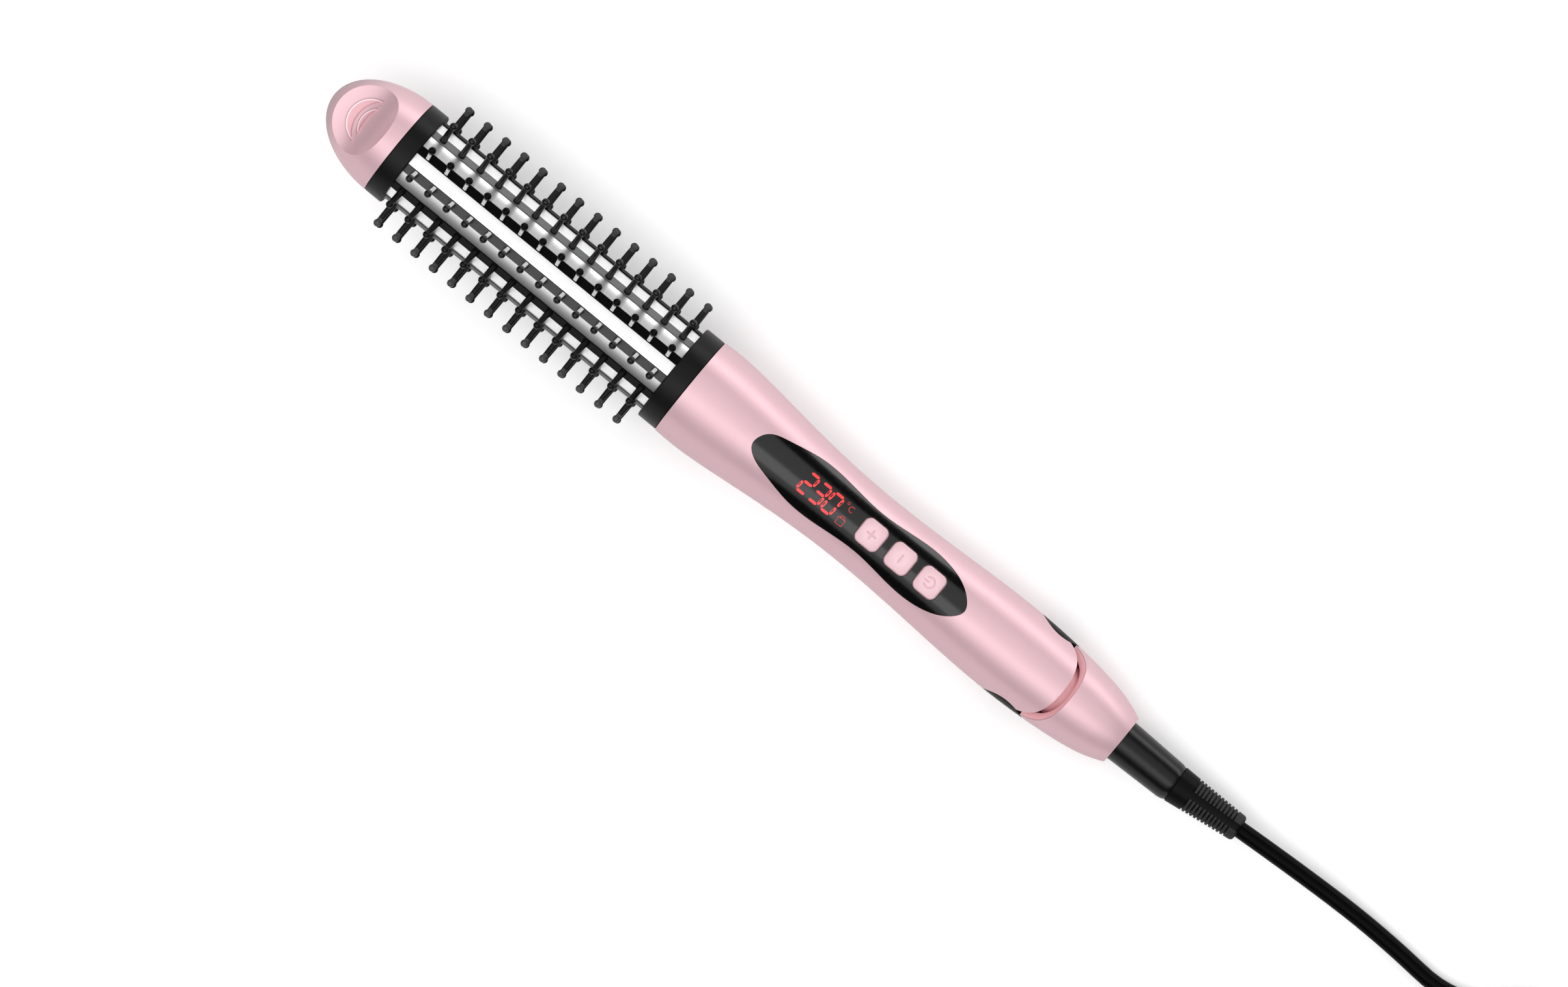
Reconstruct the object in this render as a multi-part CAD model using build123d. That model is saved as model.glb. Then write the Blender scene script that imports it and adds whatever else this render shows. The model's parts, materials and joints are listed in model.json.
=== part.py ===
from build123d import *
import math
import os

# Hair multistyler: two hinged arms that close into a round hot-brush barrel.
# Millimetres. The tool is modelled level, with x = 0 at the tip, +X towards the tail and +Z out
# of the display side, and each piece is then laid on the floor by one placement.

# Lengths along the tool, tip to tail
tip_length = 25.7
front_ring_length = 6.4
barrel_length = 102.5
rear_ring_length = 7.1

# Outside radii
ring_radius = 16.7
rear_ring_radius = 16.95
barrel_radius = 14.9
handle_front_radius = 17.15
handle_shoulder_radius = 16.4
waist_radius = 12.85
rear_bulge_radius = 14.7
tail_shoulder_radius = 13.2
tail_end_radius = 8.5

# Stretches of the handle's outline, from the rear ring to the tail
swell_run = 8.3
shoulder_run = 12.0
neck_run = 18.0
waist_run = 28.0
rise_run = 31.0
bulge_run = 28.0
tail_run = 27.0
lip_run = 11.0
end_run = 7.9

# Walls and clearances
wall = 2.4
tip_wall = 2.0
parting_gap = 0.6
plate_gap = 0.4
fit_gap = 0.1
seat_gap = 0.05
running_gap = 0.05
moving_gap = 0.3

# Barrel half shells and the combs in them
barrel_wall = 2.3
barrel_insert = 3.6
wire_way_step = 3.2
comb_angles = (13.7, 41.4, 72.3)
comb_mouth_width = 2.6
comb_foot_width = 3.3
comb_depth = 1.7
rail_proud = 0.3
pin_count = 14
first_pin_inset = 3.6
last_pin_inset = 4.0
pin_reach = 23.3
pin_ball_radius = 1.2
pin_root_radius = 1.1
pin_neck_radius = 0.85
pin_collar_radius = 1.25
pin_collar_height = 0.35

# Heating parts
plate_clearance = 0.35
plate_thickness = 2.2
heater_width = 9.0
heater_length = 62.0
heater_thickness = 2.4
tray_clearance = 0.4
tray_thickness = 1.6
fuse_radius = 1.2
fuse_length = 9.0

# Thumb dent on the tip: a cylinder across the tool
dent_radius = 16.6
dent_centre_x = 6.1
dent_centre_z = 23.9
grip_ridge_height = 0.65
grip_ridge_end_x = 13.7
grip_ridges = ((7.7, 6.5, 3.8), (5.0, 2.3, 1.0))

# Display panel, measured behind the rear ring
panel_start_x = 26.2
panel_length = 82.7
panel_front_half_width = 8.45
panel_waist_half_width = 7.1
panel_rear_half_width = 8.55
panel_thickness = 1.2
window_length = 22.0
window_width = 11.2
window_start_x = 42.6

# Buttons
button_size = 8.7
button_corner = 2.2
button_pitch = 11.5
first_button_x = 72.1
button_proud = 0.6
button_travel = 0.6
button_gap = 0.3
button_flange = 10.2
button_flange_thickness = 0.8
button_icon_depth = 0.2
button_icon_line = 0.65
switch_size = 6.0

# Circuit boards
board_thickness = 1.2
board_width = 14.0
control_board_length = 70.0
control_board_z = 4.0
power_board_length = 50.0
power_board_start = 54.3
power_board_z = -5.6

# Lead wires
lead_wire_diameter = 1.5
wire_way_gap = 0.73
wire_end_angle = 32.5

# Inner covers and screws
cover_thickness = 1.6
screw_radius = 1.25
screw_head_radius = 2.2
screw_head_height = 0.9
screw_post_radius = 2.7
front_post_x = 22.0
rear_post_to_hinge = 20.2

# Closing slider under the handle
slider_x = 8.8
slider_travel = 4.0
slider_pad_length = 15.0
slider_pad_width = 7.0
slider_pad_thickness = 1.9
slider_stem_length = 6.0
slider_stem_width = 2.4
slider_nose_length = 1.6

# Hinge
hinge_to_tail = 35.5
hinge_drop = 1.3
hub_radius = 7.6
hub_inner_y = 10.9
ear_radius = 6.0
ear_thickness = 2.2
hinge_pin_radius = 2.0
spring_wire = 1.2
spring_coil_gap = 0.5
spring_turns = 5
spring_leg = 9.0
spring_clearance = 0.6

# Swivel sleeve, cable guard and slip rings
sleeve_radius = 7.0
sleeve_neck_radius = 6.45
sleeve_dome_centre = 18.6
sleeve_bore = 5.2
sleeve_flange_radius = 9.2
sleeve_inside_length = 14.5
guard_bend = 4.0
guard_length = 26.9
guard_start_radius = 5.85
guard_end_radius = 4.3
guard_journal_radius = 3.6
guard_groove_count = 12
guard_groove_pitch = 1.35
guard_groove_width = 0.55
guard_groove_depth = 0.5
guard_flat_band = 2.3
collar_radius = 8.9
collar_wall = 1.5

# Mains cord from the guard: how far along and across from its exit each bend lies
cord_diameter = 5.4
run_lead = 24.0
run_dip = (54.0, 2.6)
run_sweep = (86.0, 0.2)
run_corner_x = 103.5
floor_sag = 0.9

# Hank, tie and plug
hank_fold_radius = 16.6
hank_pitch = 5.85
hank_turns_per_layer = 3
hank_run = 47.0
hank_lead_x = 143.0
hank_lead_y = 18.8
tie_thickness = 0.7
tie_width = 8.0
tie_gap = 0.3
tie_from_middle = 10.0
plug_width = 35.3
plug_thickness = 13.7
plug_length = 34.0
plug_neck_width = 14.0
plug_boot_length = 20.0
plug_pin_radius = 2.0
plug_pin_spacing = 18.6
plug_pin_length = 19.0
plug_sleeve_length = 10.0
plug_shank_radius = 1.2
plug_pin_chamfer = 0.8
plug_off_middle = 19.0
plug_yaw = 4.0
tail_fold_beyond_run = 6.0
tail_climb = (0, 0.14, 0.62, 0.84, 1)

# Stations along the tool
ring_x = tip_length
barrel_x = ring_x + front_ring_length
rear_ring_x = barrel_x + barrel_length
handle_x = rear_ring_x + rear_ring_length
handle_runs = (0, swell_run, shoulder_run, neck_run, waist_run, rise_run, bulge_run, tail_run, lip_run,
               end_run)
tail_x = handle_x + sum(handle_runs)
pivot_x = tail_x - hinge_to_tail
half_gap = parting_gap / 2
pin_pitch = (barrel_length - first_pin_inset - last_pin_inset) / (pin_count - 1)
reach = 60.0
seam_angle = -120


def slab(x0, x1, y0, y1, z0, z1):
    """Box between two corners."""
    return Pos((x0 + x1) / 2, (y0 + y1) / 2, (z0 + z1) / 2) * Box(x1 - x0, y1 - y0, z1 - z0)


def rod_x(x0, x1, radius, y=0, z=0):
    return Pos((x0 + x1) / 2, y, z) * Rot(0, 90, 0) * Cylinder(radius, x1 - x0)


def rod_y(y0, y1, radius, x, z):
    return Pos(x, (y0 + y1) / 2, z) * Rot(90, 0, 0) * Cylinder(radius, y1 - y0)


def rod_z(z0, z1, radius, x, y):
    return Pos(x, y, (z0 + z1) / 2) * Cylinder(radius, z1 - z0)


def upper_side(shape, z=half_gap):
    """What of a shape lies above the parting plane."""
    return shape & slab(-reach, tail_x + reach, -reach, reach, z, reach)


def lower_copy(shape):
    """The same piece for the other arm, turned half round the tool's axis."""
    return Rot(180, 0, 0) * shape


def side_face(edges):
    """A face drawn in side view (x, z), pulled through the whole width of the tool."""
    face = Plane.XZ * make_face(edges)
    return extrude(face, amount=reach, both=True)


# Handle outline

def handle_points(inset):
    swell = handle_front_radius + 0.15
    neck = (handle_shoulder_radius + waist_radius) / 2 - 0.15
    rise = (waist_radius + rear_bulge_radius) / 2 - 0.1
    lip = (tail_shoulder_radius + tail_end_radius) / 2 + 0.5
    radii = (handle_front_radius, swell, handle_shoulder_radius, neck, waist_radius, rise, rear_bulge_radius,
             tail_shoulder_radius, lip, tail_end_radius)
    stations = [handle_x + sum(handle_runs[:index + 1]) for index in range(len(radii))]
    return [(x, radius - inset) for x, radius in zip(stations, radii)]


def handle_solid(inset):
    """The handle's round form, drawn in by a constant inset, its seam low on one side."""
    points = handle_points(inset)
    outline = Spline(*points)
    start = (points[0][0], 0)
    end = (points[-1][0], 0)
    edges = [outline, Line(points[-1], end), Line(end, start), Line(start, points[0])]
    return Rot(seam_angle, 0, 0) * revolve(make_face(edges), Axis.X)


def handle_radius(x):
    """Outside radius of the handle at one station."""
    outline = Spline(*handle_points(0))
    low, high = 0.0, 1.0
    for _ in range(30):
        middle = (low + high) / 2
        if (outline @ middle).X < x:
            low = middle
        else:
            high = middle
    return (outline @ low).Y


def inner_height(x0, x1, half_width):
    """Height of a flat seat that just clears the wall inside over a stretch."""
    smallest = min(handle_radius(x0), handle_radius((x0 + x1) / 2), handle_radius(x1)) - wall
    return math.sqrt(smallest ** 2 - half_width ** 2)


handle_outer = handle_solid(0)
handle_inner = handle_solid(wall)
rib_room = handle_solid(wall - 0.3)

parts = {}

# Tip caps

def tip_solid(inset):
    """Half of an ellipsoid of revolution with its flat at the front ring."""
    length = tip_length - inset
    radius = ring_radius - inset
    arc = EllipticalCenterArc((tip_length, 0), length, radius, start_angle=90, arc_size=90)
    flat = Line((tip_length, 0), (tip_length, radius))
    edges = [arc, Line((tip_length - length, 0), (tip_length, 0)), flat]
    return revolve(make_face(edges), Axis.X)


def crescent(tip, end_half_width, outer_sagitta, inner_sagitta, end_x):
    """A grip ridge seen from above, its horns pointing to the tail."""
    ends = [(end_x, end_half_width), (end_x, -end_half_width)]
    outer = ThreePointArc(ends[0], (end_x - outer_sagitta, 0), ends[1])
    inner = ThreePointArc(ends[1], (end_x - inner_sagitta, 0), ends[0])
    return extrude(make_face([outer, inner]), amount=tip)


def tip_cap():
    outer = upper_side(tip_solid(0))
    cavity = tip_solid(tip_wall) & slab(0, tip_length, -reach, reach, half_gap + tip_wall, reach)
    dent = rod_y(-reach, reach, dent_radius, dent_centre_x, dent_centre_z)
    under_dent = rod_y(-reach, reach, dent_radius + tip_wall, dent_centre_x, dent_centre_z)
    raised = rod_y(-reach, reach, dent_radius - grip_ridge_height, dent_centre_x, dent_centre_z)
    plain = outer - cavity
    dented = (outer - dent) - (cavity - under_dent)
    ridges = []
    for half_width, outer_sagitta, inner_sagitta in grip_ridges:
        plan = crescent(reach / 2, half_width, outer_sagitta, inner_sagitta, grip_ridge_end_x)
        ridges.append((plan & outer) - raised - (cavity - under_dent))
    for ridge in ridges:
        dented = dented + ridge
    return plain, dented


plain_cap, dented_cap = tip_cap()
parts["tip_cap_upper"] = dented_cap
parts["tip_cap_lower"] = lower_copy(plain_cap)

# Black rings that carry the barrel shells

def ring_half(x0, length, radius, spigot_side, spigot_radius, spigot_length):
    """Half ring with a socket for the barrel shell, a web and a spigot into the pink part."""
    x1 = x0 + length
    body = rod_x(x0, x1, radius)
    body = chamfer(body.edges().filter_by(GeomType.CIRCLE), 0.35)
    if spigot_side < 0:
        socket_x = (x1 - barrel_insert, x1 + 1)
        spigot_x = (x0 - spigot_length, x0 + 0.5)
    else:
        socket_x = (x0 - 1, x0 + barrel_insert)
        spigot_x = (x1 - 0.5, x1 + spigot_length)
    socket_radius = barrel_radius + fit_gap
    core = socket_core_radius
    socket = rod_x(*socket_x, socket_radius) - rod_x(*socket_x, core)
    body = body + rod_x(*spigot_x, spigot_radius) - socket
    wire_way = rod_x(x0 - spigot_length - 1, x1 + spigot_length + 1, wire_way_radius)
    if spigot_side > 0:
        body = body - wire_way
    return upper_side(body)


spigot_length = 3.0
socket_core_radius = barrel_radius - barrel_wall - fit_gap
wire_way_radius = socket_core_radius - wire_way_step
front_spigot = (ring_radius - tip_wall) * 0.97
front_spigot_floor = half_gap + tip_wall + fit_gap
front_ring = ring_half(ring_x, front_ring_length, ring_radius, -1, front_spigot, spigot_length)
front_ring = front_ring - slab(0, ring_x, -reach, reach, 0, front_spigot_floor)
rear_spigot = handle_front_radius - wall - fit_gap
rear_ring = ring_half(rear_ring_x, rear_ring_length, rear_ring_radius, 1, rear_spigot, spigot_length)
parts["front_ring_upper"] = front_ring
parts["front_ring_lower"] = lower_copy(front_ring)
parts["rear_ring_upper"] = rear_ring
parts["rear_ring_lower"] = lower_copy(rear_ring)

# Barrel half shells

def comb_slot(angle, clearance, x0, x1):
    """Dovetail bar under the barrel's skin at one angle from the top."""
    top = barrel_radius + (1.0 if clearance else rail_proud)
    mouth = comb_mouth_width / 2 + clearance
    foot = comb_foot_width / 2 + clearance
    bottom = barrel_radius - comb_depth - clearance
    outline = Polyline((-mouth, top), (-foot, bottom), (foot, bottom), (mouth, top), close=True)
    bar = extrude(Plane.YZ * make_face(outline), amount=x1 - x0)
    return Rot(angle, 0, 0) * Pos(x0, 0, 0) * bar


def all_comb_angles():
    return [side * angle for side in (-1, 1) for angle in comb_angles]


shell_x0 = barrel_x - barrel_insert + fit_gap
shell_x1 = rear_ring_x + barrel_insert - fit_gap
barrel_bore = rod_x(shell_x0 - 1, shell_x1 + 1, barrel_radius - barrel_wall)
barrel_half = upper_side(rod_x(shell_x0, shell_x1, barrel_radius) - barrel_bore)
for angle in all_comb_angles():
    barrel_half = barrel_half - comb_slot(angle, seat_gap, shell_x0 - 1, shell_x1 + 1)
parts["barrel_upper"] = barrel_half
parts["barrel_lower"] = lower_copy(barrel_half)

# Combs with ball-tipped pins

def pin_comb():
    bar = comb_slot(0, 0, barrel_x + seat_gap, rear_ring_x - seat_gap)
    top = barrel_radius + rail_proud
    neck_z = pin_reach - pin_ball_radius * 0.6
    pins = []
    for index in range(pin_count):
        x = barrel_x + first_pin_inset + index * pin_pitch
        stem_height = neck_z - top + 0.4
        stem = Pos(x, 0, top - 0.4 + stem_height / 2) * Cone(pin_root_radius, pin_neck_radius, stem_height)
        collar = rod_z(top - 0.3, top + pin_collar_height, pin_collar_radius, x, 0)
        ball = Pos(x, 0, pin_reach) * Sphere(pin_ball_radius)
        pins.append(collar + stem + ball)
    return bar + pins


comb = pin_comb()
for index, angle in enumerate(all_comb_angles()):
    parts[f"comb_upper_{index + 1}"] = Rot(angle, 0, 0) * comb
    parts[f"comb_lower_{index + 1}"] = Rot(angle + 180, 0, 0) * comb

# Heating parts between the plates and the shells

heat_x0 = barrel_x + 2 * fit_gap
heat_x1 = rear_ring_x - 2 * fit_gap
plate_z = plate_gap / 2
heater_z = plate_z + plate_thickness + seat_gap
tray_z = heater_z + heater_thickness + seat_gap
heater_mid = (heat_x0 + heat_x1) / 2
barrel_inside = barrel_radius - barrel_wall
plate_half = math.sqrt((barrel_inside - plate_clearance) ** 2 - (plate_z + plate_thickness) ** 2)
plate = slab(heat_x0, heat_x1, -plate_half, plate_half, plate_z, plate_z + plate_thickness)
plate = fillet(plate.edges().filter_by(Axis.X), 0.6)
heater = slab(heater_mid - heater_length / 2, heater_mid + heater_length / 2,
              -heater_width / 2, heater_width / 2, heater_z, heater_z + heater_thickness)
tray_half = math.sqrt((barrel_inside - tray_clearance) ** 2 - (tray_z + tray_thickness) ** 2)
tray = slab(heat_x0, heat_x1, -tray_half, tray_half, tray_z, tray_z + tray_thickness)
tray = chamfer(tray.edges().filter_by(Axis.X).sort_by(Axis.Z)[-2:], 0.5)
fuse_z = tray_z + tray_thickness + fuse_radius + seat_gap
for side in (-1, 1):
    rib_y = side * (fuse_radius + seat_gap + 0.5)
    tray = tray + slab(heater_mid - 6, heater_mid + 6, rib_y - 0.5, rib_y + 0.5,
                       tray_z + tray_thickness - 0.1, tray_z + tray_thickness + 2.0)
fuse = rod_x(heater_mid - fuse_length / 2, heater_mid + fuse_length / 2, fuse_radius, 0, fuse_z)
parts["heating_plate_upper"] = plate
parts["heating_plate_lower"] = lower_copy(plate)
parts["heater_upper"] = heater
parts["heater_lower"] = lower_copy(heater)
parts["heater_tray_upper"] = tray
parts["heater_tray_lower"] = lower_copy(tray)
parts["thermistor"] = fuse
parts["thermal_fuse"] = lower_copy(fuse)

# Side-view outlines of the two handle shells around the hinge

hinge_z = -hinge_drop
arm_edge_top = (pivot_x + 12.45, 14.6)
arm_edge_mid = (pivot_x + 10.6, 10.9)
arm_edge_end = (pivot_x + 4.4, 5.2)
tail_edge_top = (pivot_x + 15.55, 14.2)
tail_edge_mid = (pivot_x + 13.75, 9.9)
tail_edge_end = (pivot_x + 6.2, 3.3)
upper_region = side_face([
    Line((handle_x, half_gap), (pivot_x, half_gap)),
    Line((pivot_x, half_gap), arm_edge_end),
    ThreePointArc(arm_edge_end, arm_edge_mid, arm_edge_top),
    Polyline(arm_edge_top, (arm_edge_top[0], reach), (handle_x, reach), (handle_x, half_gap)),
])
lower_region = side_face([
    Line((handle_x, -half_gap), (pivot_x, -half_gap)),
    Line((pivot_x, -half_gap), tail_edge_end),
    ThreePointArc(tail_edge_end, tail_edge_mid, tail_edge_top),
    Polyline(tail_edge_top, (tail_x + 1, reach), (tail_x + 1, -reach), (handle_x, -reach),
             (handle_x, -half_gap)),
])
hub_hole = rod_y(-reach, reach, hub_radius + moving_gap, pivot_x, hinge_z)
between_hubs = hub_inner_y - ear_thickness - 2 * moving_gap
hub_hole = hub_hole - slab(0, tail_x, -between_hubs, between_hubs, -reach, reach)

# Hinge ears: the lower arm's pair outside, the upper arm's pair inside

lower_ear_y = hub_inner_y - ear_thickness
upper_ear_y = lower_ear_y - moving_gap - ear_thickness


def ear_pair(y0, direction, bore):
    """Two round ears with webs that run to the inside of their shell."""
    ears = []
    for side in (-1, 1):
        y_low, y_high = sorted((side * y0, side * (y0 + ear_thickness)))
        disc = rod_y(y_low, y_high, ear_radius, pivot_x, hinge_z)
        web = slab(pivot_x - ear_radius, pivot_x, y_low, y_high, *sorted((hinge_z, direction * reach)))
        web = web & rib_room
        ears.append(disc + web - rod_y(-reach, reach, bore, pivot_x, hinge_z))
    return ears


# Upper handle shell

def rounded_square(x, size, corner, height):
    """Prism with rounded corners standing on z = 0."""
    return Pos(x, 0, 0) * extrude(RectangleRounded(size, size, corner), amount=height)


button_x = [handle_x + first_button_x + index * button_pitch for index in range(3)]
panel_x0 = handle_x + panel_start_x
panel_x1 = panel_x0 + panel_length


def panel_plan(growth):
    """Waisted outline of the display panel seen from above."""
    half_widths = (
        (0.031, 0.5 * panel_front_half_width),
        (0.106, 0.75 * panel_front_half_width),
        (0.244, panel_front_half_width),
        (0.546, panel_waist_half_width),
        (0.796, panel_rear_half_width),
        (0.874, 0.9 * panel_rear_half_width),
        (0.958, 0.55 * panel_rear_half_width),
    )
    upper = [(panel_x0 + share * panel_length, half) for share, half in half_widths]
    lower = [(x, -half) for x, half in reversed(upper)]
    outline = Spline((panel_x0, 0), *upper, (panel_x1, 0), *lower, periodic=True)
    if growth:
        grown = []
        for index in range(32):
            spot, along = outline @ (index / 32), outline % (index / 32)
            grown.append(spot + Vector(-along.Y, along.X) * growth)
        outline = Spline(*grown, periodic=True)
    return extrude(make_face(outline), amount=reach)


window_x0 = handle_x + window_start_x
window = slab(window_x0, window_x0 + window_length, -window_width / 2, window_width / 2, 0, reach)
board_x0 = panel_x0 + 9.0
board_x1 = board_x0 + control_board_length
board_top = control_board_z + board_thickness
post_x = (handle_x + front_post_x, pivot_x - rear_post_to_hinge)
slider_mid = handle_x + slider_x


def board_ribs(xs, z0, z1):
    """Cross ribs that reach from a board to the wall."""
    half = board_width / 2 - 0.5
    return [slab(x - 0.8, x + 0.8, -half, half, z0, z1) & rib_room for x in xs]


def screw_posts(z0, z1):
    posts = []
    for x in post_x:
        post = rod_z(z0, z1, screw_post_radius, x, 0) & rib_room
        posts.append(post - rod_z(z0 - 1, z0 + 7.2, screw_radius + running_gap, x, 0))
    return posts


cover_face = half_gap
cover_back = half_gap + cover_thickness
shell = (handle_outer - handle_inner) & upper_region
shell = shell - hub_hole
shell = shell + ear_pair(upper_ear_y, 1, hinge_pin_radius + running_gap)
shell = shell + board_ribs((board_x0 + 2.5, board_x1 - 2.5), board_top + seat_gap, reach)
shell = shell + screw_posts(cover_back + seat_gap, reach)
spring_top = hinge_z + hinge_pin_radius + spring_clearance + spring_wire
spring_rib_x = pivot_x - spring_leg
spring_rib = slab(spring_rib_x - 1, spring_rib_x + 1, -6, -3.4, spring_top + seat_gap, reach) & rib_room
shell = shell + spring_rib
pocket = panel_plan(fit_gap) - handle_solid(panel_thickness + seat_gap)
shell = shell - pocket - window
for x in button_x:
    shell = shell - rounded_square(x, button_size + 2 * button_gap, button_corner + button_gap, reach)
parts["handle_upper"] = shell

# Display panel, flush in its pocket

panel = (panel_plan(0) & handle_outer) - handle_solid(panel_thickness)
for x in button_x:
    panel = panel - rounded_square(x, button_size + 2 * button_gap, button_corner + button_gap, reach)
parts["display_panel"] = panel

# Control board, display module, tact switches

half_board = board_width / 2
parts["control_board"] = slab(board_x0, board_x1, -half_board, half_board, control_board_z, board_top)
module_half = window_width / 2 - 0.5
module_x0 = window_x0 + 0.6
module_x1 = window_x0 + window_length - 0.6
module_top = math.sqrt((handle_radius(module_x1) - panel_thickness) ** 2 - module_half ** 2) - fit_gap
parts["display_module"] = slab(module_x0, module_x1, -module_half, module_half,
                               board_top + seat_gap, module_top)

switches = []
button_names = ("plus", "minus", "power")
for name, x in zip(button_names, button_x):
    half_flange = button_flange / 2
    flange_top = inner_height(x - half_flange, x + half_flange, half_flange) - seat_gap
    flange_bottom = flange_top - button_flange_thickness
    button_top = handle_radius(x) + button_proud
    cap = rounded_square(x, button_size, button_corner, button_top)
    cap = cap - slab(x - reach, x + reach, -reach, reach, -1, flange_bottom)
    cap = fillet(cap.faces().sort_by(Axis.Z)[-1].edges(), 0.7)
    flange = slab(x - half_flange, x + half_flange, -half_flange, half_flange, flange_bottom, flange_top)
    switch_top = flange_bottom - button_travel - seat_gap
    icon_floor = button_top - button_icon_depth
    line = button_icon_line / 2
    if name == "plus":
        icon = [slab(x - 1.8, x + 1.8, -line, line, icon_floor, reach),
                slab(x - line, x + line, -1.8, 1.8, icon_floor, reach)]
    elif name == "minus":
        icon = [slab(x - line, x + line, -1.55, 1.55, icon_floor, reach)]
    else:
        ring = rod_z(icon_floor, reach, 2.0, x, 0) - rod_z(icon_floor, reach, 2.0 - 2 * line, x, 0)
        ring = ring - slab(x - 3, x, -1.0, 1.0, icon_floor, reach)
        icon = [ring, slab(x - 2.1, x - 0.2, -line, line, icon_floor, reach)]
    button = cap + flange
    for cut in icon:
        button = button - cut
    parts[f"button_{name}"] = button
    body = slab(x - switch_size / 2, x + switch_size / 2, -switch_size / 2, switch_size / 2,
                board_top + seat_gap, switch_top - 0.6)
    switches.append(body + rod_z(switch_top - 0.7, switch_top, 1.7, x, 0))
parts["tact_switches"] = Compound(children=switches)

# Inner covers close each handle half; the slider's hook passes through both

hook_clear = 0.3
slot_x0 = slider_mid - slider_stem_length / 2 - hook_clear
slot_x1 = slider_mid + slider_stem_length / 2 + slider_travel + hook_clear
hook_half = slider_stem_width / 2 + hook_clear
cover_x0 = handle_x + spigot_length + fit_gap
cover_x1 = pivot_x - spring_leg - 2.5
hook_slot = slab(slot_x0, slot_x1, -hook_half, hook_half, -reach, reach)
cover = handle_solid(wall + fit_gap) & slab(cover_x0, cover_x1, -reach, reach, cover_face, cover_back)
for x in post_x:
    head_room = rod_z(0, cover_face + screw_head_height + 0.15, screw_head_radius + 0.15, x, 0)
    cover = cover - head_room - rod_z(0, reach, screw_radius + 0.15, x, 0)
cover = cover - hook_slot
foot_x = (board_x0 + 4, board_x1 - 4)
board_feet = [rod_z(cover_back - 0.1, control_board_z - seat_gap, 1.5, x, 0) for x in foot_x]
parts["inner_cover_upper"] = cover + board_feet
parts["inner_cover_lower"] = lower_copy(cover)

screws = []
for x in post_x:
    head_z = cover_face + 0.1
    head = rod_z(head_z, head_z + screw_head_height, screw_head_radius, x, 0)
    head = head - slab(x - 1.3, x + 1.3, -0.25, 0.25, head_z, head_z + 0.5)
    head = head - slab(x - 0.25, x + 0.25, -1.3, 1.3, head_z, head_z + 0.5)
    screws.append(head + rod_z(head_z + screw_head_height - 0.1, head_z + 8.0, screw_radius, x, 0))
parts["screws_upper"] = Compound(children=screws)
parts["screws_lower"] = Compound(children=[lower_copy(screw) for screw in screws])

# Lower handle shell with the tail cone

sleeve_seat_x = tail_x - sleeve_inside_length + 2.0 + fit_gap
tail_inner = handle_inner & slab(0, sleeve_seat_x, -reach, reach, -reach, reach)
lower = (handle_outer & lower_region) - tail_inner - hub_hole
lower = lower - rod_x(sleeve_seat_x - 1, tail_x + 1, sleeve_radius + seat_gap)
lower = lower + ear_pair(lower_ear_y, -1, hinge_pin_radius + seat_gap / 2)
spring_low = hinge_z - hinge_pin_radius - spring_clearance - spring_wire
spring_rib = slab(spring_rib_x - 1, spring_rib_x + 1, 3.4, 6, -reach, spring_low - seat_gap)
lower = lower + (spring_rib & rib_room)
power_x0 = handle_x + power_board_start
power_x1 = power_x0 + power_board_length
lower = lower + board_ribs((power_x0 + 2.5, power_x1 - 2.5), -reach, power_board_z - seat_gap)
lower = lower + [lower_copy(post) for post in screw_posts(cover_back + seat_gap, reach)]
stem_half = slider_stem_width / 2 + hook_clear
lower = lower - slab(slot_x0, slot_x1, -stem_half, stem_half, -reach, -10)
parts["handle_lower"] = lower

# Closing slider: pad outside, foot plate inside, hook up through the covers

pad_x = (slider_mid - slider_pad_length / 2, slider_mid + slider_pad_length / 2)
pad_top = -max(handle_radius(x) for x in (*pad_x, slider_mid)) - moving_gap
foot_top = -inner_height(pad_x[0], pad_x[1] + slider_travel, 3.0) + seat_gap
hook_tip = cover_back + 0.3
pad = slab(*pad_x, -slider_pad_width / 2, slider_pad_width / 2, pad_top - slider_pad_thickness, pad_top)
pad = fillet(pad.edges().filter_by(Axis.Z), 2.0)
for index in range(5):
    groove_x = slider_mid + (index - 2) * 2.2
    groove_z = pad_top - slider_pad_thickness
    pad = pad - slab(groove_x - 0.4, groove_x + 0.4, -reach, reach, groove_z, groove_z + 0.5)
stem_x = (slider_mid - slider_stem_length / 2, slider_mid + slider_stem_length / 2)
stem = slab(*stem_x, -slider_stem_width / 2, slider_stem_width / 2, pad_top - 0.2, hook_tip + 1.8)
foot = slab(stem_x[0] - 1.5, stem_x[1] + 1.5, -3.0, 3.0, foot_top, foot_top + 1.2)
nose = slab(stem_x[1] - 0.5, stem_x[1] + slider_nose_length, -slider_stem_width / 2, slider_stem_width / 2,
            hook_tip, hook_tip + 1.8)
parts["lock_slider"] = pad + stem + foot + nose

# Power board and its parts

power_board_top = power_board_z + board_thickness
bare_board = slab(power_x0, power_x1, -half_board, half_board, power_board_z, power_board_top)
power_mid = (power_x0 + power_x1) / 2
part_z = power_board_z - seat_gap
capacitor = rod_x(power_mid + 4, power_mid + 15, 2.1, 0, part_z - 2.1)
triac = slab(power_mid - 17, power_mid - 9, -4.5, 4.5, part_z - 2.3, part_z)
choke_x = power_mid - 2
choke = rod_z(part_z - 3.4, part_z, 3.4, choke_x, 0) - rod_z(part_z - 4, part_z + 1, 1.2, choke_x, 0)
parts["power_board"] = Compound(children=[bare_board, capacitor, triac, choke])

# Hinge pin, hub caps and torsion spring

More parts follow.
